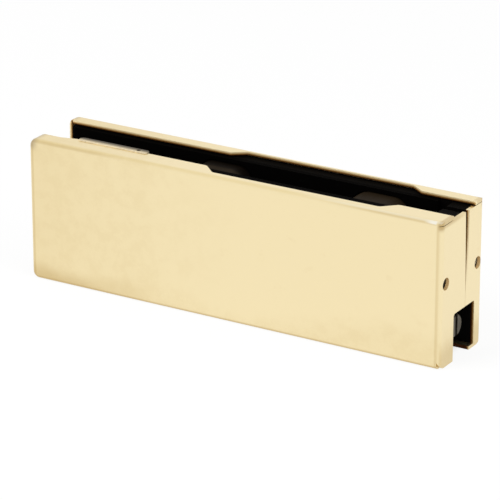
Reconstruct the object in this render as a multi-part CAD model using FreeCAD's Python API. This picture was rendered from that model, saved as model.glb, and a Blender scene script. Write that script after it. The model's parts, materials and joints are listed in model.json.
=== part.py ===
import FreeCAD, Part
import os
from FreeCAD import Vector

# Patch fitting for the lower corner of a frameless glass door.
# X runs along the door (the closed end is at +X), Y runs through the glass
# (the front cover faces -Y) and Z is up. The origin is the middle of the foot.

# Overall size
length = 164.0
height = 52.5
depth = 30.0

# Glass that the fitting grips, and its packing
glass_plane = 1.2
glass_thickness = 12.0
gasket_thickness = 2.0

# Folded covers
sheet = 1.2
bend_radius = 1.8
open_corner_radius = 2.7
lip_depth = 4.0
lip_rise = 5.0
flange_overhang = 0.1
front_recess_land = 3.5
rear_recess_land = 2.3
recess_end_inset = 20.5
recess_length = 75.0
recess_slope = 5.0
recess_round = 2.0
taper_depth = 1.4
taper_start = 9.0
taper_length = 6.0
front_foot_flange = 9.4
rear_foot_flange = 5.6
foot_tab_width = 8.7
foot_tab_length = 18.0
seam_gap = 0.2

# Closed end of the covers
parting_plane = 2.9
parting_gap_top = 2.2
parting_gap_foot = 0.1
parting_taper_foot = 22.0
notch_middle = 2.2
notch_width = 15.0
notch_height = 17.0
notch_round = 1.0
foot_corner_round = 3.5

# Cover set screws
cover_screw_d = 3.0
cover_screw_length = 8.0
cover_screw_drop = 22.5
cover_screw_inset = 3.6
cover_screw_recess = 0.2
cover_screw_key = 1.5
cover_screw_key_depth = 2.0
cover_hole_gap = 0.7

# Clamp plates
plate_drop = 0.5
plate_end_gap = 1.3
end_post_length = 7.0
end_post_foot = 19.0

# Clamp bolts, their washers, bosses and sleeves
bolt_right_inset = 35.0
bolt_spacing = 61.5
bolt_drop = 13.0
bolt_d = 6.0
bolt_head_d = 10.0
bolt_head_height = 4.0
bolt_key = 4.0
bolt_key_depth = 2.4
bolt_tip_gap = 2.4
washer_d = 12.0
washer_thickness = 1.2
boss_d = 17.0
boss_front_gap = 0.8
sleeve_wall = 2.5
sleeve_corner_round = 6.5

# Gaskets, packing strip and edge pad
gasket_foot = 18.5
gasket_end_gap = 2.0
gasket_hole_gap = 0.6
strip_inset = 16.0
strip_length = 28.5
strip_gap = 0.1
strip_lap = 1.4
strip_rise = 0.35
strip_edge_round = 0.25
strip_hole_d = 1.6
strip_hole_depth = 1.0
strip_hole_end = 4.0
pad_thickness = 3.0
pad_foot = 21.0
pad_top_drop = 3.0

# Pivot insert, its bush and its adjusting screws
pivot_inset = 55.0
insert_length = 60.0
insert_height = 14.6
tongue_depth = 1.2
tongue_height = 4.0
pin_bore_d = 10.0
bush_wall = 2.0
bush_length = 12.0
adjuster_d = 8.0
adjuster_length = 22.8
adjuster_slot = 1.6
adjuster_slot_depth = 2.0
adjuster_height = 10.2
lug_length = 9.0
lug_gap = 7.0
lug_foot = 2.0
lug_height = 15.0

# Clearances
slip = 0.2
guide_gap = 0.3
thread_gap = 0.05
hole_gap = 0.3
bush_gap = 0.02
edge_break = 0.4
reach_past = 5.0

# Places that follow from the sizes above
left_end = -length / 2
right_end = length / 2
front_face = -depth / 2
rear_face = depth / 2
front_clamp_face = glass_plane - glass_thickness / 2 - gasket_thickness
rear_clamp_face = glass_plane + glass_thickness / 2 + gasket_thickness
front_flange_edge = front_clamp_face + flange_overhang
rear_flange_edge = rear_clamp_face - flange_overhang
recess_end = right_end - recess_end_inset
recess_start = recess_end - recess_length
end_wall = right_end - sheet
plate_top = height - sheet - plate_drop
plate_foot = sheet + slip
plate_left = left_end + sheet + plate_end_gap
plate_right = end_wall - guide_gap
plate_corner_radius = open_corner_radius - sheet - guide_gap
front_plate_back = front_face + sheet + slip
rear_plate_back = rear_face - sheet - slip
notch_front = notch_middle - notch_width / 2
notch_rear = notch_middle + notch_width / 2
end_post_left = plate_right - end_post_length
front_post_rear = parting_plane - parting_gap_top / 2 - guide_gap
rear_post_front = parting_plane + parting_gap_top / 2 + guide_gap
bolt_right_x = right_end - bolt_right_inset
bolt_left_x = bolt_right_x - bolt_spacing
bolt_height = plate_top - bolt_drop
cover_screw_height = height - cover_screw_drop
gasket_top = plate_top
gasket_left = plate_left + gasket_end_gap
gasket_right = end_post_left - pad_thickness - gasket_end_gap
sleeve_width = boss_d + 2 * (thread_gap + sleeve_wall)
pivot_x = right_end - pivot_inset
insert_foot = sheet + guide_gap
insert_left = pivot_x - insert_length / 2
insert_right = pivot_x + insert_length / 2
front_screw_y = front_face + cover_screw_inset
rear_screw_y = rear_face - cover_screw_inset


def block(x0, x1, y0, y1, z0, z1):
    return Part.makeBox(x1 - x0, y1 - y0, z1 - z0, Vector(x0, y0, z0))


def slab(x0, x1, y0, y1, z0, z1):
    """Block whose two Y places may come in either order."""
    return block(x0, x1, min(y0, y1), max(y0, y1), z0, z1)


def rod_x(diameter, x0, x1, y, z):
    return Part.makeCylinder(diameter / 2, x1 - x0, Vector(x0, y, z), Vector(1, 0, 0))


def rod_y(diameter, y0, y1, x, z):
    return Part.makeCylinder(diameter / 2, y1 - y0, Vector(x, y0, z), Vector(0, 1, 0))


def rod_z(diameter, z0, z1, x, y):
    return Part.makeCylinder(diameter / 2, z1 - z0, Vector(x, y, z0), Vector(0, 0, 1))


def prism(points, direction):
    wire = Part.makePolygon(points + points[:1])
    return Part.Face(wire).extrude(direction)


def hex_key(width, reach, mouth, inward):
    """Hexagonal key socket that runs from its mouth inward."""
    radius = width / 3 ** 0.5
    side = Vector(0, 0, 1)
    flat = side.cross(inward)
    corners = []
    for turn in range(6):
        spin = FreeCAD.Rotation(inward, 60 * turn)
        corners.append(mouth + spin.multVec(flat * radius))
    return prism(corners, inward * reach)


def edges_along(shape, axis, keep):
    """Straight edges parallel to an axis whose midpoint passes a test."""
    found = []
    for edge in shape.Edges:
        if edge.Curve.TypeId != "Part::GeomLine":
            continue
        run = edge.Vertexes[-1].Point - edge.Vertexes[0].Point
        if abs(run.dot(axis)) < 0.999 * run.Length:
            continue
        if keep(edge.CenterOfMass):
            found.append(edge)
    return found


def edges_at_y(shape, y):
    found = []
    for edge in shape.Edges:
        if abs(edge.BoundBox.YMin - y) < 1e-6 and abs(edge.BoundBox.YMax - y) < 1e-6:
            found.append(edge)
    return found


def rounded_plate(x0, x1, z0, z1, y0, y1, left_radius):
    """Upright plate with rounded corners at its left end."""
    plate = slab(x0, x1, y0, y1, z0, z1)
    left = edges_along(plate, Vector(0, 1, 0), lambda p: p.x < (x0 + x1) / 2)
    return plate.makeFillet(left_radius, left)


def tray(face, inward):
    """Open box of sheet: a face with a rim bent back from all its sides."""
    outer = rounded_plate(left_end, right_end, 0, height, face, parting_plane, open_corner_radius)
    outer = outer.makeFillet(bend_radius, edges_at_y(outer, face))
    floor = face + inward * sheet
    hollow = rounded_plate(left_end + sheet, end_wall, sheet, height - sheet,
                           floor, parting_plane + inward * reach_past, open_corner_radius - sheet)
    hollow = hollow.makeFillet(bend_radius - sheet, edges_at_y(hollow, floor))
    return outer.cut(hollow)


def flange_trim(edge, recess_edge, inward):
    """Everything past the edge of a top flange, with its sloped recess."""
    past = parting_plane + inward * reach_past
    foot = height - sheet - seam_gap
    points = [
        Vector(left_end - reach_past, edge, foot),
        Vector(recess_start, edge, foot),
        Vector(recess_start + recess_slope, recess_edge, foot),
        Vector(recess_end - recess_slope, recess_edge, foot),
        Vector(recess_end, edge, foot),
        Vector(right_end + reach_past, edge, foot),
        Vector(right_end + reach_past, past, foot),
        Vector(left_end - reach_past, past, foot),
    ]
    tool = prism(points, Vector(0, 0, sheet + seam_gap + reach_past))
    bends = edges_along(tool, Vector(0, 0, 1), lambda p: left_end < p.x < right_end)
    return tool.makeFillet(recess_round, bends)


def lip_trim(face, inward, edge):
    """Everything past the lip at the open end, which rises to the edge of the top flange."""
    lip = face + inward * lip_depth
    past = parting_plane + inward * reach_past
    start = left_end - reach_past
    points = [
        Vector(start, lip, -reach_past),
        Vector(start, lip, height - lip_rise),
        Vector(start, edge, height),
        Vector(start, past, height),
        Vector(start, past, -reach_past),
    ]
    return prism(points, Vector(reach_past + open_corner_radius, 0, 0))


def open_end_taper():
    """Wedge that narrows the front top flange towards the open end."""
    narrow = front_flange_edge - taper_depth
    foot = height - sheet - seam_gap
    points = [
        Vector(left_end - reach_past, narrow, foot),
        Vector(left_end + taper_start, narrow, foot),
        Vector(left_end + taper_start + taper_length, front_flange_edge, foot),
        Vector(left_end - reach_past, front_flange_edge, foot),
    ]
    return prism(points, Vector(0, 0, sheet + seam_gap + reach_past))


def parting_trim(inward):
    """Everything past the edge of a closed end where the two covers part."""
    past = parting_plane + inward * reach_past
    top = parting_plane - inward * parting_gap_top / 2
    foot = parting_plane - inward * parting_gap_foot / 2
    start = end_wall - reach_past
    points = [
        Vector(start, foot, 0),
        Vector(start, foot, parting_taper_foot),
        Vector(start, top, height),
        Vector(start, past, height),
        Vector(start, past, 0),
    ]
    return prism(points, Vector(sheet + 2 * reach_past, 0, 0))


def foot_corner(face, inward):
    """Everything outside the rounded lower corner of a closed end."""
    middle = face + inward * foot_corner_round
    outside = slab(end_wall, right_end + reach_past, face, middle, 0, foot_corner_round)
    return outside.cut(rod_x(2 * foot_corner_round, end_wall, right_end + reach_past,
                             middle, foot_corner_round))


def cover(face, inward, edge, recess_land, lip_edge, foot_flange, tab_width, screw_y, notch_edge):
    """One folded cover: face, flanges, lip at the open end and notched closed end."""
    far = parting_plane + inward * reach_past
    shell = tray(face, inward)
    shell = shell.cut(flange_trim(edge, face + inward * recess_land, inward))
    shell = shell.cut(lip_trim(face, inward, lip_edge))

    tab_start = right_end - foot_tab_length
    shell = shell.cut(slab(left_end - reach_past, tab_start, face + inward * foot_flange, far,
                           -reach_past, sheet))
    shell = shell.cut(slab(tab_start, right_end + reach_past, face + inward * tab_width, far,
                           -reach_past, sheet))

    shell = shell.cut(slab(end_wall, right_end + reach_past, face, far,
                           height - sheet - seam_gap, height - sheet))
    notch = slab(end_wall, right_end + reach_past, notch_edge, far, sheet, notch_height)
    top_corner = edges_along(notch, Vector(1, 0, 0),
                             lambda p: p.z > sheet and abs(p.y - notch_edge) < sheet)
    shell = shell.cut(notch.makeFillet(notch_round, top_corner))
    shell = shell.cut(foot_corner(face, inward))
    shell = shell.cut(parting_trim(inward))
    hole = rod_x(cover_screw_d + 2 * cover_hole_gap, end_wall - reach_past, right_end + reach_past,
                 screw_y, cover_screw_height)
    return shell.cut(hole)


def front_cover():
    lip_edge = front_flange_edge - taper_depth
    shell = cover(front_face, 1, front_flange_edge, front_recess_land, lip_edge, front_foot_flange,
                  notch_front - front_face, front_screw_y, notch_front)
    return shell.cut(open_end_taper())


def rear_cover():
    return cover(rear_face, -1, rear_flange_edge, rear_recess_land, rear_face - lip_depth,
                 rear_foot_flange, foot_tab_width, rear_screw_y, notch_rear)


def set_screw(diameter, tip, mouth, y, z):
    """Headless screw along X with chamfered ends."""
    screw = rod_x(diameter, min(tip, mouth), max(tip, mouth), y, z)
    rims = [edge for edge in screw.Edges if edge.BoundBox.XLength < 1e-6]
    return screw.makeChamfer(edge_break, rims)


def cover_screw(y):
    """Hexagon socket set screw whose mouth stands in the hole of a cover's closed end."""
    mouth = right_end - cover_screw_recess
    screw = set_screw(cover_screw_d, mouth - cover_screw_length, mouth, y, cover_screw_height)
    return screw.cut(hex_key(cover_screw_key, cover_screw_key_depth,
                             Vector(mouth, y, cover_screw_height), Vector(-1, 0, 0)))


def screw_seat(y):
    """Tapped hole for a cover screw, from the end of a clamp plate inward."""
    depth_end = right_end - cover_screw_recess - cover_screw_length - edge_break
    return rod_x(cover_screw_d + 2 * thread_gap, depth_end, right_end, y, cover_screw_height)


def guide_groove(face, outward):
    """Groove in a clamp plate that a tongue of the pivot insert slides in."""
    middle = insert_foot + insert_height / 2
    half = tongue_height / 2 + guide_gap
    return slab(insert_left - lug_gap, insert_right + lug_gap,
                face, face + outward * (tongue_depth + slip), middle - half, middle + half)


def adjuster_lug(x0):
    """Cross wall of the front plate that an adjusting screw is tapped through."""
    lug = block(x0, x0 + lug_length, front_clamp_face, rear_clamp_face - guide_gap,
                lug_foot, lug_foot + lug_height)
    bore = rod_x(adjuster_d + 2 * thread_gap, x0 - reach_past, x0 + lug_length + reach_past,
                 glass_plane, adjuster_height)
    return lug.cut(bore)


def clamp_plate(back, face, post_edge, screw_y):
    """Plate inside a cover, with the end post that its cover screw goes into."""
    plate = rounded_plate(plate_left, plate_right, plate_foot, plate_top, back, face,
                          plate_corner_radius)
    plate = plate.fuse(slab(end_post_left, plate_right, face, post_edge, end_post_foot, plate_top))
    return plate.cut(screw_seat(screw_y))


def front_clamp_plate():
    plate = clamp_plate(front_plate_back, front_clamp_face, front_post_rear, front_screw_y)
    plate = plate.fuse(adjuster_lug(insert_right + lug_gap))
    plate = plate.fuse(adjuster_lug(insert_left - lug_gap - lug_length))
    plate = plate.cut(guide_groove(front_clamp_face, -1))
    head_seat = front_plate_back + slip + bolt_head_height + washer_thickness
    for x in (bolt_left_x, bolt_right_x):
        plate = plate.cut(rod_y(washer_d + 2 * hole_gap, front_plate_back, head_seat,
                                x, bolt_height))
        plate = plate.cut(rod_y(bolt_d + 2 * hole_gap, front_plate_back,
                                front_clamp_face, x, bolt_height))
    return plate.removeSplitter()


def rear_clamp_plate():
    plate = clamp_plate(rear_plate_back, rear_clamp_face, rear_post_front, rear_screw_y)
    plate = plate.cut(guide_groove(rear_clamp_face, 1))
    for x in (bolt_left_x, bolt_right_x):
        boss = rod_y(boss_d, front_clamp_face + boss_front_gap, rear_clamp_face,
                     x, bolt_height)
        plate = plate.fuse(boss)
        plate = plate.cut(rod_y(bolt_d + 2 * thread_gap, front_clamp_face, rear_plate_back,
                                x, bolt_height))
    return plate.removeSplitter()


def clamp_bolt(x):
    """Low-head socket screw: head in the front plate, thread in the rear boss."""
    head_front = front_plate_back + slip
    head_rear = head_front + bolt_head_height
    head = rod_y(bolt_head_d, head_front, head_rear, x, bolt_height)
    rim = [edge for edge in head.Edges if abs(edge.CenterOfMass.y - head_front) < 1e-6]
    head = head.makeChamfer(edge_break, rim)
    shank = rod_y(bolt_d, head_rear, rear_plate_back - bolt_tip_gap, x, bolt_height)
    key = hex_key(bolt_key, bolt_key_depth, Vector(x, head_front, bolt_height), Vector(0, 1, 0))
    return head.fuse(shank).cut(key).removeSplitter()


def clamp_washer(x):
    seat = front_plate_back + slip + bolt_head_height
    ring = rod_y(washer_d, seat, seat + washer_thickness, x, bolt_height)
    return ring.cut(rod_y(bolt_d + hole_gap, seat, seat + washer_thickness, x, bolt_height))


def sleeve_outline(gap, front, rear, x):
    """Square block with rounded corners: the outside of a sleeve, grown by a gap."""
    half = sleeve_width / 2 + gap
    outline = block(x - half, x + half, front, rear, bolt_height - half, bolt_height + half)
    corners = edges_along(outline, Vector(0, 1, 0), lambda p: True)
    return outline.makeFillet(sleeve_corner_round + gap, corners)


def boss_sleeve(x):
    """Plastic sleeve round a boss that keeps the glass off the metal."""
    front = front_clamp_face + boss_front_gap
    rear = rear_clamp_face - thread_gap
    sleeve = sleeve_outline(0, front, rear, x)
    return sleeve.cut(rod_y(boss_d + 2 * thread_gap, front, rear, x, bolt_height))


def gasket(y0):
    pad = rounded_plate(gasket_left, gasket_right, gasket_foot, gasket_top,
                        y0, y0 + gasket_thickness, plate_corner_radius)
    for x in (bolt_left_x, bolt_right_x):
        pad = pad.cut(sleeve_outline(gasket_hole_gap, y0, y0 + gasket_thickness, x))
    return pad


def packing_strip():
    """Short strip on the gasket that fills the gap beside the front flange and laps over it."""
    start = left_end + strip_inset
    end = start + strip_length
    rear = front_clamp_face + gasket_thickness
    front = front_flange_edge + strip_gap
    lap_front = front - strip_lap
    top = height + strip_rise
    strip = block(start, end, front, rear, gasket_top, top)
    strip = strip.fuse(block(start, end, lap_front, front, height, top)).removeSplitter()
    rear_corners = edges_along(strip, Vector(0, 0, 1), lambda p: p.y > (front + rear) / 2)
    strip = strip.makeFillet(rear - front - edge_break, rear_corners)
    lap_corners = edges_along(strip, Vector(0, 0, 1), lambda p: p.y < (lap_front + front) / 2)
    strip = strip.makeFillet(strip_lap - edge_break, lap_corners)
    top_edges = [edge for edge in strip.Edges if edge.BoundBox.ZMin > top - 1e-6]
    strip = strip.makeFillet(strip_edge_round, top_edges)
    hole = rod_z(strip_hole_d, top - strip_hole_depth, top, end - strip_hole_end,
                 (lap_front + rear) / 2)
    return strip.cut(hole)


def edge_pad():
    """Soft stop on the front end post for the upright edge of the glass."""
    pad = block(end_post_left - pad_thickness, end_post_left,
                front_clamp_face, front_post_rear, pad_foot, plate_top - pad_top_drop)
    upright = edges_along(pad, Vector(0, 0, 1), lambda p: p.x < end_post_left)
    return pad.makeFillet(edge_break, upright)


def pivot_insert():
    """Steel block in the bottom channel, with side tongues and a pivot socket."""
    front = front_clamp_face + guide_gap
    rear = rear_clamp_face - guide_gap
    body = block(insert_left, insert_right, front, rear, insert_foot, insert_foot + insert_height)
    middle = insert_foot + insert_height / 2
    tongue = block(insert_left, insert_right, front - tongue_depth, rear + tongue_depth,
                   middle - tongue_height / 2, middle + tongue_height / 2)
    body = body.fuse(tongue)
    socket_d = pin_bore_d + 2 * bush_wall + 2 * bush_gap
    body = body.cut(rod_z(socket_d, insert_foot, insert_foot + bush_length, pivot_x, glass_plane))
    return body.removeSplitter()


def pivot_bush():
    ring = rod_z(pin_bore_d + 2 * bush_wall, insert_foot, insert_foot + bush_length,
                 pivot_x, glass_plane)
    return ring.cut(rod_z(pin_bore_d, insert_foot, insert_foot + bush_length,
                          pivot_x, glass_plane))


def insert_screw(tip, outward):
    """Slotted set screw that bears on one end of the pivot insert."""
    mouth = tip + outward * adjuster_length
    bottom = mouth - outward * adjuster_slot_depth
    half_width = adjuster_slot / 2
    half_height = adjuster_d / 2 + edge_break
    screw = set_screw(adjuster_d, tip, mouth, glass_plane, adjuster_height)
    return screw.cut(block(min(bottom, mouth), max(bottom, mouth),
                           glass_plane - half_width, glass_plane + half_width,
                           adjuster_height - half_height, adjuster_height + half_height))


pieces = {
    "front_cover": front_cover(),
    "rear_cover": rear_cover(),
    "front_clamp_plate": front_clamp_plate(),
    "rear_clamp_plate": rear_clamp_plate(),
    "front_gasket": gasket(front_clamp_face),
    "rear_gasket": gasket(rear_clamp_face - gasket_thickness),
    "packing_strip": packing_strip(),
    "edge_pad": edge_pad(),
    "cover_screw_front": cover_screw(front_screw_y),
    "cover_screw_rear": cover_screw(rear_screw_y),
    "pivot_insert": pivot_insert(),
    "pivot_bush": pivot_bush(),
    "insert_screw_right": insert_screw(insert_right, 1),
    "insert_screw_left": insert_screw(insert_left, -1),
}
for side, bolt_x in (("left", bolt_left_x), ("right", bolt_right_x)):
    pieces["clamp_bolt_" + side] = clamp_bolt(bolt_x)
    pieces["clamp_washer_" + side] = clamp_washer(bolt_x)
    pieces["boss_sleeve_" + side] = boss_sleeve(bolt_x)

os.makedirs("parts", exist_ok=True)
for name, shape in pieces.items():
    print(name, "solids", len(shape.Solids), "valid", shape.isValid(), "mm3", round(shape.Volume, 1))
    shape.exportStep(f"parts/{name}.step")
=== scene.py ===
import json
import math

import bmesh
import bpy
from mathutils import Matrix, Vector


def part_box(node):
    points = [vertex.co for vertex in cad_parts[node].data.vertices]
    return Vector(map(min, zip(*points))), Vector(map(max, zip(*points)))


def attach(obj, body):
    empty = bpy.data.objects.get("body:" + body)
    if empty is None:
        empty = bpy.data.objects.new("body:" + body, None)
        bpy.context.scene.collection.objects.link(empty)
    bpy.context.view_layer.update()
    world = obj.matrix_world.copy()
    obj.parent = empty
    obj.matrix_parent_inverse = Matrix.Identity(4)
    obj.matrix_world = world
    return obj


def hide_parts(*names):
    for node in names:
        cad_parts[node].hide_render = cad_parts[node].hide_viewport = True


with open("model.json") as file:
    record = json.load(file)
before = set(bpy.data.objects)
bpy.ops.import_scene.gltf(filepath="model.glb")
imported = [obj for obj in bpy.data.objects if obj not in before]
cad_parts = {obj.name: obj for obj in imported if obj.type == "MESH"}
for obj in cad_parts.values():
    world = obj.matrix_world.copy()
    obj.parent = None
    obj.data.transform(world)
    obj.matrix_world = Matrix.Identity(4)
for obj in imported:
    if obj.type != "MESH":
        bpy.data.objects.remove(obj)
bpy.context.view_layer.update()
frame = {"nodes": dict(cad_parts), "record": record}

mm = 0.001

# Camera, fitted to the edges of the fitting
camera_azimuth = math.radians(30.91)
camera_elevation = math.radians(21.31)
camera_distance = 1136.87 * mm
camera_aim_right = -0.24 * mm
camera_aim_up = 20.37 * mm
camera_focal_px = 3262.54
camera_near = 0.05
camera_far = 20.0
image_px = 500
sensor_width = 36.0

# Floor, surroundings and lamps: places in metres, power in watts
floor_half_width = 3.0
floor_squares = 8
floor_drop = 0.05 * mm
floor_glow_share = 0.9
covered_floor_along = (70.0, 80.0)
covered_floor_across = (8.0, 14.0)
ceiling_rise = (0.45, 0.85)
room_light = 0.6
lamp_aim = Vector((0, 0, 0))
lamps = {
    "key_lamp": {"place": (-0.5, -0.7, 0.9), "size": 0.7, "power": 9.0},
    "fill_lamp": {"place": (0.8, -0.3, 0.7), "size": 0.6, "power": 4.0},
}

# Screws
bolt_radius = 3.0 * mm
bolt_head_height = 4.0 * mm
bolt_pitch = 1.0 * mm
bolt_key = 4.0 * mm
bolt_key_depth = 2.4 * mm
bolt_thread_length = 15.0 * mm
adjuster_radius = 4.0 * mm
adjuster_pitch = 1.25 * mm
adjuster_slot = 1.6 * mm
adjuster_slot_depth = 2.0 * mm
cover_screw_radius = 1.5 * mm
cover_screw_pitch = 0.5 * mm
cover_screw_key = 1.5 * mm
cover_screw_key_depth = 2.0 * mm
cover_screw_sunk = 0.9 * mm
thread_depth_share = 0.61
thread_crest_share = 0.12
thread_flank_share = 0.76
thread_rows_per_turn = 8
thread_fade_turns = 1.2
round_steps = 48
sharp_angle = math.radians(38)
knurl_ridges = 36
knurl_depth = 0.12 * mm
end_chamfer = 0.4 * mm
socket_bevel = 0.25 * end_chamfer
socket_floor_share = 0.7


class Socket:
    """An output of a shader node, with arithmetic that adds Math nodes."""

    def __init__(self, finish, output):
        self.finish = finish
        self.output = output

    def join(self, operation, first, second=0.0):
        return self.finish.node("ShaderNodeMath", {"operation": operation}, {0: first, 1: second})

    def __add__(self, other):
        return self.join("ADD", self, other)

    def __radd__(self, other):
        return self.join("ADD", other, self)

    def __sub__(self, other):
        return self.join("SUBTRACT", self, other)

    def __rsub__(self, other):
        return self.join("SUBTRACT", other, self)

    def __mul__(self, other):
        return self.join("MULTIPLY", self, other)

    def __rmul__(self, other):
        return self.join("MULTIPLY", other, self)

    def size(self):
        return self.join("ABSOLUTE", self)

    def clamp(self):
        return self.finish.node("ShaderNodeClamp", {}, {"Value": self})

    def between(self, low, high):
        """0 below low, 1 above high and a smooth step in between."""
        return self.finish.node("ShaderNodeMapRange", {"interpolation_type": "SMOOTHSTEP"},
                                {"Value": self, "From Min": low, "From Max": high})

    def under(self, low, high):
        """1 below low, 0 above high and a smooth step in between."""
        return 1 - self.between(low, high)

    def within(self, low, rising, falling, high):
        """1 from rising to falling, fading to 0 at low and at high."""
        return self.between(low, rising) * self.under(falling, high)


class Finish:
    """A node tree and the one method that adds nodes to it."""

    def __init__(self, tree):
        self.tree = tree
        self.tree.nodes.clear()

    def node(self, kind, settings=None, sockets=None, out=0):
        made = self.tree.nodes.new(kind)
        for name, value in (settings or {}).items():
            setattr(made, name, value)
        for name, value in (sockets or {}).items():
            if isinstance(value, Socket):
                self.tree.links.new(value.output, made.inputs[name])
            else:
                made.inputs[name].default_value = value
        return Socket(self, made.outputs[out]) if made.outputs else made

    def place(self, stretch=(1.0, 1.0, 1.0)):
        """The point of the piece in millimetres, stretched along its axes."""
        point = self.node("ShaderNodeTexCoord", out="Object")
        per_mm = tuple(part / mm for part in stretch)
        return self.node("ShaderNodeVectorMath", {"operation": "MULTIPLY"}, {0: point, 1: per_mm})

    def parts(self, vector):
        """The three parts of a vector."""
        return [self.node("ShaderNodeSeparateXYZ", {}, {0: vector}, out=axis) for axis in range(3)]

    def noise(self, place, scale, detail, roughness=0.5):
        return self.node("ShaderNodeTexNoise", {},
                         {"Vector": place, "Scale": scale, "Detail": detail,
                          "Roughness": roughness})

    def blend(self, share, first, second):
        """Colour that goes from the first to the second as the share goes from 0 to 1."""
        return self.node("ShaderNodeMix", {"data_type": "RGBA"}, {0: share, 6: first, 7: second},
                         out=2)

    def bump(self, height, distance, strength):
        return self.node("ShaderNodeBump", {},
                         {"Height": height, "Distance": distance, "Strength": strength})

    def surface(self, **sockets):
        named = {name.replace("_", " "): value for name, value in sockets.items()}
        shader = self.node("ShaderNodeBsdfPrincipled", {}, named)
        self.node("ShaderNodeOutputMaterial", {}, {"Surface": shader})


def new_finish(name):
    material = bpy.data.materials.new(name)
    material.use_nodes = True
    return material, Finish(material.node_tree)


def shade(red, green, blue):
    return (red, green, blue, 1.0)


white = shade(1, 1, 1)

# Brass covers: colours of the sheet, with painted shade and painted highlights
clean_brass = shade(0.913, 0.776, 0.479)
# Painted shade of the sheet towards the open end and the foot
shaded_brass = shade(0.838, 0.690, 0.398)
marked_brass = shade(0.80, 0.64, 0.36)
# Painted shade in the bends, the low corner and the legs beside the notch
bend_shade_brass = shade(0.62, 0.46, 0.21)
# Painted shade on the top fold of the closed end
fold_shade_brass = shade(0.60, 0.44, 0.20)
# Walls of the end-screw holes: bare brass, painted with the brown of shade
bore_shade_brass = shade(0.72, 0.50, 0.24)
# Painted shade in the corners at the open and the closed end
open_corner_shade = shade(0.36, 0.28, 0.18)
closed_corner_shade = shade(0.42, 0.28, 0.12)
# Painted brown shade along the parting line
parting_shade_brown = shade(0.46, 0.30, 0.12)
# Painted highlights on the top bend
gleam_white = shade(1.0, 0.98, 0.93)
shine_white = shade(1.0, 0.97, 0.88)
# Cut edges: bare brass with painted shade, darkest inside
raw_edge_deep_shade = shade(0.045, 0.011, 0.001)
raw_edge_half_shade = shade(0.46, 0.25, 0.07)
raw_edge_unshaded = shade(0.95, 0.79, 0.47)

# Brass covers: stretches in millimetres over which a mask rises or falls
# Painted shade towards the open end and the foot
open_end_shade = (-55.0, 35.0)
foot_shade = (2.0, 12.0)
foot_shade_drop = (0.0, 70.0)
# Painted shade in the bends, the low corner and the legs
end_bend_along = (79.7, 80.3, 80.6, 81.4)
shaded_leg_up = (10.0, 17.0)
crease_up = (51.1, 51.6, 51.9, 52.4)
crease_open_end = (-62.0, -38.0)
crease_closed_end = (35.0, 60.0, 79.0, 80.5)
low_corner_along = (-52.0, -20.0)
low_corner_up = (5.0, 13.0)
# Painted shade in the corners at both ends
open_corner_along = (77.5, 81.0)
open_corner_up = (47.5, 50.8)
closed_corner_along = (79.9, 81.4)
closed_corner_up = (48.6, 51.0)
closed_corner_out = (12.4, 14.4)
# Painted shade on the top fold of the closed end and along the parting line
fold_along = (80.2, 81.2)
front_fold_up = (49.4, 50.9)
front_fold_inward = (-6.0, 2.0)
front_fold_end = (2.0, 3.0)
rear_fold_up = (51.0, 51.6)
rear_fold_across = (9.4, 10.4)
parting_shade_across = (2.6, 2.9, 3.2, 3.9)
parting_shade_up = (24.0, 44.0)
# Painted highlights on the top bend
gleam_along = (74.5, 78.4, 79.3, 80.0)
gleam_out = (12.8, 13.8)
gleam_up = (51.4, 51.9)
shine_along = (20.0, 50.0)
shine_out = (12.9, 13.3)
outer_face = (13.0, 13.6)
# Painted shade on the cut edges, from dark inside to bright at the outer skin
raw_halfway_up = (51.35, 52.0)
raw_halfway_end = (81.1, 81.8)
raw_outside_up = (51.75, 52.45)
raw_outside_end = (81.6, 82.1)
raw_open_end = (-1.0, 1.0)
raw_open_end_shift = 0.4
parting_plane = 2.9
parting_lean = 0.02
end_screw_out = 11.4
end_screw_up = 30.0
# Painted brown shade on the walls of the end-screw holes
screw_hole = (2.3, 2.5)
screw_hole_along = (80.2, 80.4)

# Brass covers: parts of a normal over which a mask rises or falls
end_facing = (0.6, 0.9)
hole_facing = (0.4, 0.7)
foot_facing = (0.1, 0.6)
slot_facing = (0.3, 0.6)
gleam_facing = (0.9, 0.99)
shine_facing = (0.6, 0.8, 0.96, 0.99)


class CoverPoint:
    """A point of the covers: its place in millimetres and the parts of its normal."""

    def __init__(self, f):
        self.point = f.place()
        self.along, self.across, self.up = f.parts(self.point)
        self.from_middle = self.along.size()
        self.outward = self.across.size()
        normal = f.node("ShaderNodeTexCoord", out="Normal")
        self.lean_x, self.lean_y, self.lean_z = f.parts(normal)
        self.clouds = f.noise(self.point, 0.035, 3.0)


def end_and_foot_shade_share(at):
    """Painted shade, darker towards the open end and the foot."""
    to_open_end = (at.along + at.clouds * 60).under(*open_end_shade)
    foot_height = at.up + at.clouds * 8 - at.along.between(*foot_shade_drop) * 10
    return (to_open_end * 0.75 + foot_height.under(*foot_shade) * 0.5).clamp()


def bend_shade_share(at):
    """Painted shade on the bends, the low corner and the legs beside the notch."""
    end_bend = at.from_middle.within(*end_bend_along) * at.lean_y.size()
    foot_bend = (0 - at.lean_z).between(*foot_facing)
    leg = at.lean_x.between(*end_facing) * (at.up + at.clouds * 10).under(*shaded_leg_up)
    crease_length = at.along.under(*crease_open_end) + at.along.within(*crease_closed_end)
    crease = at.up.within(*crease_up) * crease_length
    low_corner = (at.along + at.clouds * 30).under(*low_corner_along)
    low_corner = low_corner * (at.up + at.clouds * 8).under(*low_corner_up)
    # rubbed sums the painted shade of the bends, the low corner and the legs
    rubbed = end_bend * 0.42 + foot_bend * 0.9 + leg * 0.45 + crease * 0.4 + low_corner * 0.62
    return rubbed.clamp()


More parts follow.
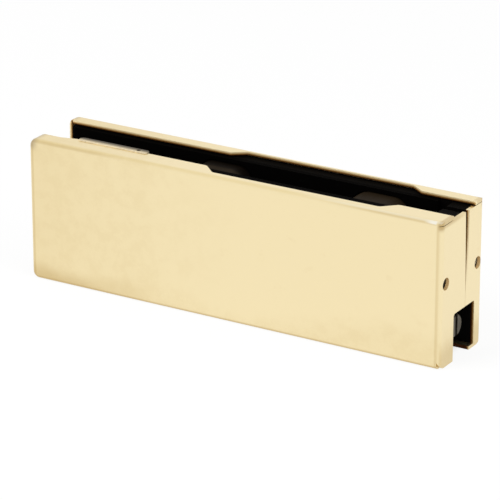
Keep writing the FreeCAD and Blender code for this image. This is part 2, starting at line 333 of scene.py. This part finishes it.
def shaded_corners(f, at, colour):
    """Corners of the folded sheet, with painted shade at both ends."""
    open_corner = (0 - at.along).between(*open_corner_along) * at.up.between(*open_corner_up)
    colour = f.blend(open_corner * 0.6, colour, open_corner_shade)
    closed_corner = at.along.between(*closed_corner_along) * at.up.between(*closed_corner_up)
    closed_corner = closed_corner * at.outward.between(*closed_corner_out)
    return f.blend(closed_corner * 0.75, colour, closed_corner_shade)


def folded_end(f, at, colour):
    """Top fold of the closed end with painted shade, and painted brown shade along the parting
    line.
    """
    front_fold = at.along.between(*fold_along) * at.up.between(*front_fold_up)
    front_fold = front_fold * (1 - at.across.between(*front_fold_inward) * 0.6)
    rear_fold = at.along.between(*fold_along) * at.up.between(*rear_fold_up)
    rear_fold = rear_fold * at.across.between(*rear_fold_across)
    folded = front_fold * at.across.under(*front_fold_end) * 0.68 + rear_fold * 0.5
    colour = f.blend(folded, colour, fold_shade_brass)
    past_edge = at.across - at.up * parting_lean
    parting_shade = past_edge.within(*parting_shade_across) * at.lean_x.between(*end_facing)
    return f.blend(parting_shade * at.up.between(*parting_shade_up) * 0.6, colour, parting_shade_brown)


def painted_highlight_bend(f, at, colour):
    """Top bend with painted highlights towards the closed end."""
    gleam = at.along.within(*gleam_along) * at.outward.between(*gleam_out)
    gleam = gleam * at.up.between(*gleam_up) * at.lean_z.under(*gleam_facing)
    colour = f.blend(gleam, colour, gleam_white)
    shine = at.along.between(*shine_along) * at.lean_z.within(*shine_facing)
    return f.blend(shine * at.outward.between(*shine_out) * 0.4, colour, shine_white)


def cut_share(at):
    """Cut edges, which face the slot from either cover."""
    front_half = ((parting_plane - at.across) * 1000).clamp()
    cut = (at.lean_y * (front_half * 2 - 1)).between(*slot_facing)
    return cut * (1 - at.outward.between(*outer_face) * 0.7)


def shaded_raw_edge(f, at):
    """Colour of a cut edge: bare brass with painted shade, dark inside and bright at the outer
    skin.
    """
    endward = at.from_middle + at.along.under(*raw_open_end) * raw_open_end_shift
    halfway = (at.up.between(*raw_halfway_up) + endward.between(*raw_halfway_end)).clamp()
    outside = (at.up.between(*raw_outside_up) + endward.between(*raw_outside_end)).clamp()
    return f.blend(outside, f.blend(halfway, raw_edge_deep_shade, raw_edge_half_shade), raw_edge_unshaded)


def bored_share(at):
    """Bare walls of the holes for the end screws, painted with the brown of brass in shade."""
    near_screw = (at.outward - end_screw_out).size().under(*screw_hole)
    near_screw = near_screw * (at.up - end_screw_up).size().under(*screw_hole)
    return near_screw * at.along.between(*screw_hole_along) * at.lean_x.under(*hole_facing)


def polished_brass():
    """Lacquered sheet: buffed along its length and raw on its cut edges, with painted shade towards
    the open end and the foot, in the bends, corners, fold and holes and on the cut edges, and
    painted highlights on the top bend.
    """
    material, f = new_finish("polished_brass")
    at = CoverPoint(f)
    buffing = f.noise(f.place((0.04, 1.0, 1.0)), 2.2, 3.0)
    marks = f.noise(at.point, 0.16, 4.0, 0.62).between(0.62, 0.74)
    mottle = f.noise(at.point, 0.22, 5.0, 0.65).between(0.4, 0.64)
    # worn holds the painted shade towards the open end and the foot
    worn, cut, bored = end_and_foot_shade_share(at), cut_share(at), bored_share(at)
    end_and_foot_shade = (worn + (mottle - 0.5) * worn * (1 - worn) * 1.4).clamp()
    colour = f.blend(end_and_foot_shade, clean_brass, shaded_brass)
    colour = f.blend(marks * 0.14, colour, marked_brass)
    colour = f.blend(bend_shade_share(at), colour, bend_shade_brass)
    colour = shaded_corners(f, at, colour)
    colour = folded_end(f, at, colour)
    colour = painted_highlight_bend(f, at, colour)
    colour = f.blend(cut, colour, shaded_raw_edge(f, at))
    colour = f.blend(bored, colour, bore_shade_brass)
    bare = (cut * 0.7 + bored).clamp()
    rough = 0.28 + worn * 0.05 + buffing * 0.06 + marks * 0.06 + cut * 0.25
    f.surface(Base_Color=colour, Metallic=1 - bare, Roughness=rough, Specular_IOR_Level=0.05,
              Normal=f.bump(buffing, 0.004 * mm, 0.35))
    return material


def black_casting():
    """Black coated casting with a fine grainy skin that is rubbed on its high spots."""
    material, f = new_finish("black_casting")
    point = f.place()
    grain = f.noise(point, 3.2, 4.0, 0.6)
    swell = f.noise(point, 0.25, 2.0)
    rubbed = grain.between(0.62, 0.78)
    colour = f.blend(swell, shade(0.0010, 0.0008, 0.0007), shade(0.0024, 0.0019, 0.0016))
    colour = f.blend(rubbed * 0.5, colour, shade(0.0055, 0.0050, 0.0045))
    f.surface(Base_Color=colour, Roughness=0.8 - rubbed * 0.15, Specular_IOR_Level=0.03,
              Normal=f.bump(grain + swell, 0.08 * mm, 0.6))
    return material


def black_rubber():
    """Matt gasket rubber with talc in its grain."""
    material, f = new_finish("black_rubber")
    point = f.place()
    grain = f.noise(point, 5.0, 3.0, 0.6)
    talc = f.noise(point, 0.4, 5.0, 0.65).between(0.55, 0.8)
    colour = f.blend(talc * 0.5, shade(0.0010, 0.0008, 0.0007), shade(0.0042, 0.0038, 0.0034))
    f.surface(Base_Color=colour, Roughness=0.9 - talc * 0.1, Specular_IOR_Level=0.02,
              Normal=f.bump(grain, 0.04 * mm, 0.5))
    return material


def grey_fibre():
    """Pressed fibre packing: pale, flecked, hairy along its length, with painted shade on its inner
    side.
    """
    material, f = new_finish("grey_fibre")
    shaded_inner_side = (-7.2, -4.6)
    point = f.place()
    _, across, _ = f.parts(point)
    hairs = f.noise(f.place((0.12, 1.0, 1.0)), 2.5, 4.0, 0.65)
    flecks = f.noise(point, 1.4, 3.0).between(0.55, 0.7)
    colour = f.blend(hairs.between(0.3, 0.7), shade(0.56, 0.47, 0.32), shade(0.80, 0.67, 0.43))
    colour = f.blend(flecks * 0.4, colour, shade(0.28, 0.24, 0.18))
    # Painted shade along the inner side of the strip
    colour = f.blend((across + hairs * 1.8).between(*shaded_inner_side), colour,
                     shade(0.10, 0.085, 0.065))
    f.surface(Base_Color=colour, Roughness=0.85 + hairs * 0.1,
              Normal=f.bump(hairs, 0.12 * mm, 0.6))
    return material


def black_plastic():
    """Moulded plastic with flow lines and scuffs, and painted shade on the left sleeve, most on its
    rear side, and on the edge pad.
    """
    material, f = new_finish("black_plastic")
    left_sleeve_along = (0.0, 20.0)
    rear_side_across = (2.0, 4.0)
    edge_pad_along = (62.0, 68.0)
    point = f.place()
    along, across, _ = f.parts(point)
    flow = f.noise(f.place((1.0, 0.25, 1.0)), 0.5, 2.0)
    scuffs = f.noise(point, 0.9, 5.0, 0.7).between(0.58, 0.75)
    colour = f.blend(flow, shade(0.0115, 0.0076, 0.0040), shade(0.0195, 0.0130, 0.0070))
    colour = f.blend(scuffs * 0.5, colour, shade(0.034, 0.024, 0.014))
    # Painted shade on the left sleeve, most on its rear side, and on the edge pad
    left_sleeve = along.under(*left_sleeve_along)
    sheltered_shade = left_sleeve * (0.05 + across.between(*rear_side_across) * 0.8)
    sheltered_shade = sheltered_shade + along.between(*edge_pad_along) * 0.75
    colour = f.blend(sheltered_shade, colour, shade(0.0012, 0.0006, 0.0004))
    f.surface(Base_Color=colour, Roughness=0.62 + scuffs * 0.2, Specular_IOR_Level=0.05,
              Normal=f.bump(flow + scuffs * 0.4, 0.03 * mm, 0.4))
    return material


def dark_end_screw_brass():
    """Brass of the end screws, near black and patchy at the front and greyer at the rear."""
    material, f = new_finish("dark_end_screw_brass")
    front_to_rear = (-2.0, 2.0)
    point = f.place()
    _, across, _ = f.parts(point)
    dark_patches = f.noise(point, 1.8, 4.0, 0.6)
    colour = f.blend(dark_patches.between(0.35, 0.7), shade(0.018, 0.012, 0.007),
                     shade(0.060, 0.042, 0.026))
    colour = f.blend(across.between(*front_to_rear) * 0.8, colour, shade(0.44, 0.38, 0.28))
    f.surface(Base_Color=colour, Metallic=0.2, Roughness=0.4 + dark_patches * 0.2,
              Normal=f.bump(dark_patches, 0.02 * mm, 0.5))
    return material


def zinc_steel():
    """Zinc plated steel with the spangle and stains of small fasteners."""
    material, f = new_finish("zinc_steel")
    point = f.place()
    spangle = f.noise(point, 1.6, 3.0)
    stain = f.noise(point, 0.35, 4.0).between(0.5, 0.75)
    colour = f.blend(spangle, shade(0.50, 0.50, 0.49), shade(0.66, 0.66, 0.64))
    colour = f.blend(stain * 0.5, colour, shade(0.40, 0.38, 0.33))
    f.surface(Base_Color=colour, Metallic=1.0, Roughness=0.32 + spangle * 0.14 + stain * 0.1,
              Normal=f.bump(spangle, 0.02 * mm, 0.4))
    return material


def dark_steel():
    """Oiled black steel, milled along its length and worn bright where it is rubbed."""
    material, f = new_finish("dark_steel")
    point = f.place()
    mill = f.noise(f.place((0.1, 1.0, 1.0)), 2.0, 3.0)
    rubbed = f.noise(point, 0.5, 5.0, 0.65).between(0.56, 0.78)
    colour = f.blend(mill, shade(0.080, 0.071, 0.056), shade(0.150, 0.132, 0.102))
    colour = f.blend(rubbed * 0.6, colour, shade(0.26, 0.24, 0.20))
    f.surface(Base_Color=colour, Metallic=1.0, Roughness=0.42 + mill * 0.12 - rubbed * 0.08,
              Normal=f.bump(mill, 0.02 * mm, 0.5))
    return material


def bearing_bronze():
    """Sintered bronze: dull, freckled with oil pores."""
    material, f = new_finish("bearing_bronze")
    point = f.place()
    pores = f.noise(point, 5.0, 4.0, 0.65)
    oil = f.noise(point, 0.4, 3.0)
    colour = f.blend(oil, shade(0.40, 0.27, 0.13), shade(0.58, 0.42, 0.22))
    colour = f.blend(pores.between(0.58, 0.7) * 0.8, colour, shade(0.13, 0.09, 0.05))
    f.surface(Base_Color=colour, Metallic=1.0, Roughness=0.5 + pores * 0.15 - oil * 0.12,
              Normal=f.bump(pores, 0.05 * mm, 0.6))
    return material


def new_piece(name, mesh):
    """Object of the scene from a mesh that is being built."""
    data = bpy.data.meshes.new(name)
    mesh.to_mesh(data)
    mesh.free()
    piece = bpy.data.objects.new(name, data)
    bpy.context.scene.collection.objects.link(piece)
    return piece


def hexagon(width, angle):
    """Distance from the middle of a hexagon to its side at an angle."""
    sector = math.pi / 3
    off_flat = (angle + sector / 2) % sector - sector / 2
    return width / 2 / math.cos(off_flat)


def thread(radius, pitch, run):
    """Radius of a vee thread at an angle, some way along its run."""
    depth = thread_depth_share * pitch

    def at(angle, along):
        turns = along / pitch
        phase = (turns - angle / (2 * math.pi)) % 1.0
        groove = 1.0 - abs(2.0 * phase - 1.0)
        groove = min(max((groove - thread_crest_share) / thread_flank_share, 0.0), 1.0)
        lead = min(turns, run / pitch - turns) / thread_fade_turns
        return radius - depth * groove * min(max(lead, 0.0), 1.0)

    return at


def turned_piece(name, rows, axis_start, axis_direction):
    """Closed piece from rows of points about an axis; a row is (height, radius at an angle)."""
    mesh = bmesh.new()
    rings = []
    for height, radius_at in rows:
        ring = []
        for step in range(round_steps):
            angle = 2 * math.pi * step / round_steps
            radius = radius_at(angle)
            corner = (radius * math.cos(angle), radius * math.sin(angle), height)
            ring.append(mesh.verts.new(corner))
        rings.append(ring)
    for lower, upper in zip(rings, rings[1:]):
        for step in range(round_steps):
            after = (step + 1) % round_steps
            mesh.faces.new((lower[step], lower[after], upper[after], upper[step]))
    mesh.faces.new(list(reversed(rings[0])))
    mesh.faces.new(rings[-1])
    bmesh.ops.recalc_face_normals(mesh, faces=mesh.faces)
    piece = new_piece(name, mesh)
    turn = Vector(axis_direction).to_track_quat("Z", "Y").to_matrix().to_4x4()
    piece.data.transform(Matrix.Translation(axis_start) @ turn)
    piece.data.shade_smooth()
    piece.data.set_sharp_from_angle(angle=sharp_angle)
    return piece


def constant(radius):
    return lambda angle: radius


def threaded_rows(radius, pitch, start, end):
    """Rows of a threaded stretch from one height to another."""
    run = end - start
    at = thread(radius, pitch, run)
    count = int(run / pitch * thread_rows_per_turn)
    rows = []
    for row in range(count + 1):
        along = run * row / count
        rows.append((start + along, lambda angle, along=along: at(angle, along)))
    return rows


def socket_rows(key, key_depth):
    """Rows of a hexagonal key socket, from its floor to its mouth."""
    return [
        (key_depth, lambda angle: socket_floor_share * hexagon(key, angle)),
        (key_depth, lambda angle: hexagon(key, angle)),
        (socket_bevel, lambda angle: hexagon(key, angle)),
        (0.0, lambda angle: hexagon(key, angle) + socket_bevel),
    ]


def mounted(piece, node, body, slot, finish=None):
    """Puts a made piece on its body in the place of a plain node."""
    piece.data.materials.append(finishes[finish or slot])
    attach(piece, body)
    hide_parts(node)


def set_screw(name, node, radius, pitch, mouth_rows, mouth_side, sunk=0.0):
    """Threaded headless screw along X in the place of a plain node, and the middle of its mouth."""
    low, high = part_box(node)
    length = high.x - low.x - sunk
    mouth = high.x - sunk if mouth_side > 0 else low.x + sunk
    rows = mouth_rows + [(0.0, constant(radius - end_chamfer))]
    rows.extend(threaded_rows(radius, pitch, end_chamfer, length - end_chamfer))
    rows.append((length, constant(radius - 2 * end_chamfer)))
    start = Vector((mouth, (low.y + high.y) / 2, (low.z + high.z) / 2))
    return turned_piece(name, rows, start, (-mouth_side, 0, 0)), start


def adjusting_screw(side):
    """Screw with a screwdriver slot in the place of a plain adjusting screw."""
    outward = 1 if side == "right" else -1
    piece, mouth = set_screw("grub_screw_" + side, "insert_screw_" + side, adjuster_radius,
                             adjuster_pitch, [], outward)
    mesh = bmesh.new()
    bmesh.ops.create_cube(mesh, size=1.0)
    bmesh.ops.scale(mesh, verts=mesh.verts,
                    vec=(2 * adjuster_slot_depth, adjuster_slot, 3 * adjuster_radius))
    bmesh.ops.translate(mesh, verts=mesh.verts, vec=mouth)
    blade = new_piece("slot_blade", mesh)
    cut = piece.modifiers.new("slot", "BOOLEAN")
    cut.object = blade
    cut.operation = "DIFFERENCE"
    graph = bpy.context.evaluated_depsgraph_get()
    piece.data = bpy.data.meshes.new_from_object(piece.evaluated_get(graph))
    piece.data.set_sharp_from_angle(angle=sharp_angle)
    piece.modifiers.clear()
    bpy.data.objects.remove(blade)
    mounted(piece, "insert_screw_" + side, "adjuster_" + side, "dark_steel")


def end_screw(side):
    """Small socket screw in the place of a plain cover screw, its mouth sunk in the end."""
    mouth_rows = socket_rows(cover_screw_key, cover_screw_key_depth)
    piece, _ = set_screw("end_screw_" + side, "cover_screw_" + side, cover_screw_radius,
                         cover_screw_pitch, mouth_rows, 1, cover_screw_sunk)
    mounted(piece, "cover_screw_" + side, side + "_half", "polished_brass", "dark_end_screw_brass")


def clamp_bolt(side):
    """Low-head socket bolt with a knurled head and a threaded end."""
    low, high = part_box("clamp_bolt_" + side)
    head_radius = (high.x - low.x) / 2
    length = high.y - low.y
    middle_x, middle_z = (low.x + high.x) / 2, (low.z + high.z) / 2

    def knurl(angle):
        return head_radius - knurl_depth * (0.5 + 0.5 * math.cos(knurl_ridges * angle))

    rows = socket_rows(bolt_key, bolt_key_depth)
    rows.append((0.0, constant(head_radius - end_chamfer)))
    rows.append((end_chamfer, knurl))
    rows.append((bolt_head_height - 0.5 * end_chamfer, knurl))
    rows.append((bolt_head_height, constant(head_radius - end_chamfer)))
    rows.append((bolt_head_height, constant(bolt_radius)))
    rows.extend(threaded_rows(bolt_radius, bolt_pitch, length - bolt_thread_length,
                              length - end_chamfer))
    rows.append((length, constant(bolt_radius - 2 * end_chamfer)))
    piece = turned_piece("socket_bolt_" + side, rows, (middle_x, low.y, middle_z), (0, 1, 0))
    mounted(piece, "clamp_bolt_" + side, "bolt_" + side, "zinc_steel")


def dress_nodes():
    """Gives every plain node the finish that its record names."""
    for part in frame["record"]["subparts"]:
        slots = frame["nodes"][part["node"]].data.materials
        slots.clear()
        slots.append(finishes[part["material_slot"]])


def view_mask(f):
    """1 for what the camera, a reflection or a see-through piece looks at, 0 for plain light."""
    camera, glossy, see_through = [
        f.node("ShaderNodeLightPath", out=name)
        for name in ("Is Camera Ray", "Is Glossy Ray", "Is Transmission Ray")]
    return (camera + glossy + see_through).clamp()


def make_floor():
    """White table that keeps the shadow, and doesn't glow under the fitting."""
    mesh = bmesh.new()
    bmesh.ops.create_grid(mesh, x_segments=floor_squares, y_segments=floor_squares,
                          size=floor_half_width)
    floor = new_piece("floor", mesh)
    floor.location.z = -floor_drop
    material, f = new_finish("white_table")
    paint = f.node("ShaderNodeBsdfDiffuse", {}, {"Color": shade(0.92, 0.92, 0.92)})
    glow = f.node("ShaderNodeEmission", {}, {"Color": white, "Strength": 1.0})
    along, across, _ = f.parts(f.place())
    covered = along.size().under(*covered_floor_along) * across.size().under(*covered_floor_across)
    glow_share = view_mask(f) * (1 - covered) * floor_glow_share
    lit = f.node("ShaderNodeMixShader", {}, {0: glow_share, 1: paint, 2: glow})
    f.node("ShaderNodeOutputMaterial", {}, {"Surface": lit})
    floor.data.materials.append(material)


def make_world():
    """White surroundings with a dimmer ceiling, which draws the bends of the covers."""
    world = bpy.data.worlds.new("studio")
    bpy.context.scene.world = world
    world.use_nodes = True
    f = Finish(world.node_tree)
    _, _, rise = f.parts(f.node("ShaderNodeTexCoord", out="Generated"))
    walls = f.node("ShaderNodeBackground", {}, {"Color": white, "Strength": 1.0})
    ceiling = f.node("ShaderNodeBackground", {},
                     {"Color": shade(0.93, 0.905, 0.82), "Strength": 1.0})
    seen = f.node("ShaderNodeMixShader", {}, {0: rise.between(*ceiling_rise), 1: walls, 2: ceiling})
    light = f.node("ShaderNodeBackground", {}, {"Color": white, "Strength": room_light})
    both = f.node("ShaderNodeMixShader", {}, {0: view_mask(f), 1: light, 2: seen})
    f.node("ShaderNodeOutputWorld", {}, {"Surface": both})


def make_lamp(name, place, size, power):
    data = bpy.data.lights.new(name, "AREA")
    data.size = size
    data.energy = power
    lamp = bpy.data.objects.new(name, data)
    lamp.location = place
    lamp.rotation_mode = "QUATERNION"
    lamp.rotation_quaternion = (lamp_aim - Vector(place)).to_track_quat("-Z", "Y")
    lamp.visible_glossy = False
    bpy.context.scene.collection.objects.link(lamp)


def make_camera():
    forward = Vector((-math.sin(camera_azimuth) * math.cos(camera_elevation),
                      math.cos(camera_azimuth) * math.cos(camera_elevation),
                      -math.sin(camera_elevation)))
    right = Vector((math.cos(camera_azimuth), math.sin(camera_azimuth), 0.0))
    up = right.cross(forward)
    data = bpy.data.cameras.new("camera")
    data.sensor_width = sensor_width
    data.lens = camera_focal_px * sensor_width / image_px
    data.clip_start, data.clip_end = camera_near, camera_far
    camera = bpy.data.objects.new("camera", data)
    spot = right * camera_aim_right + up * camera_aim_up - forward * camera_distance
    turn = Matrix((right, up, -forward)).transposed().to_4x4()
    camera.matrix_world = Matrix.Translation(spot) @ turn
    bpy.context.scene.collection.objects.link(camera)
    bpy.context.scene.camera = camera


finishes = {
    "polished_brass": polished_brass(),
    "black_casting": black_casting(),
    "black_rubber": black_rubber(),
    "grey_fibre": grey_fibre(),
    "black_plastic": black_plastic(),
    "dark_end_screw_brass": dark_end_screw_brass(),
    "zinc_steel": zinc_steel(),
    "dark_steel": dark_steel(),
    "bearing_bronze": bearing_bronze(),
}
dress_nodes()

for side in ("left", "right"):
    clamp_bolt(side)
    adjusting_screw(side)
for side in ("front", "rear"):
    end_screw(side)

make_floor()
make_world()
for lamp_name, lamp_facts in lamps.items():
    make_lamp(lamp_name, **lamp_facts)
make_camera()
bpy.context.scene.view_settings.view_transform = "Standard"
